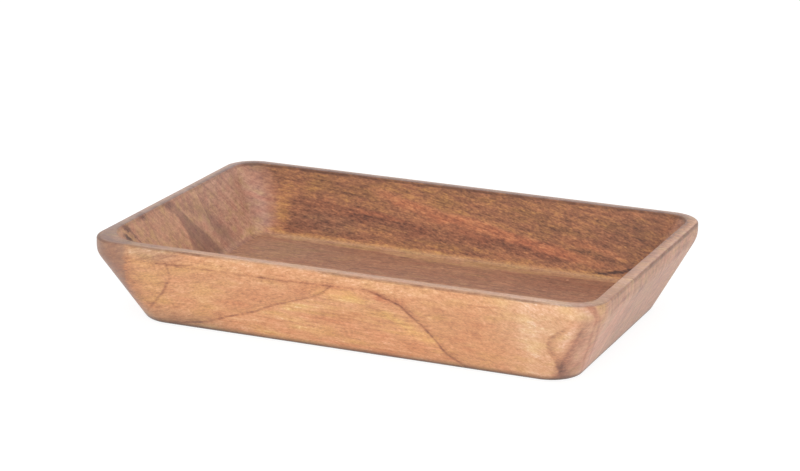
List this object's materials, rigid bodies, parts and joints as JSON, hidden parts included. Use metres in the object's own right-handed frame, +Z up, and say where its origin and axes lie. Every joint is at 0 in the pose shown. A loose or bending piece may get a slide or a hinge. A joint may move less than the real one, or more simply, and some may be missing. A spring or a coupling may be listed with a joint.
{
  "type": "wooden tray",
  "caption": "Rectangular hollowed wooden tray with a narrow level rim, a short upright lip, tapering sides, round corners and a coved hollow, made of boards glued edge to edge.",
  "frame": {"origin": "centre of the flat foot, on the surface that the tray stands on", "axes": "+X along the length to the right, +Y across the width to the back, +Z up out of the hollow"},
  "size_m": [0.36, 0.235, 0.06],
  "materials": {
    "front_board_wood": "oiled, orange tan with a pointed arch of grain on the sloping face",
    "middle_board_wood": "oiled, pinkish brown with greyer streaks",
    "rear_board_wood": "oiled, reddish brown with short dark pores"
  },
  "bodies": {
    "root": {"front_board": "front_board_wood", "middle_board": "middle_board_wood", "rear_board": "rear_board_wood"}
  },
  "joints": []
}
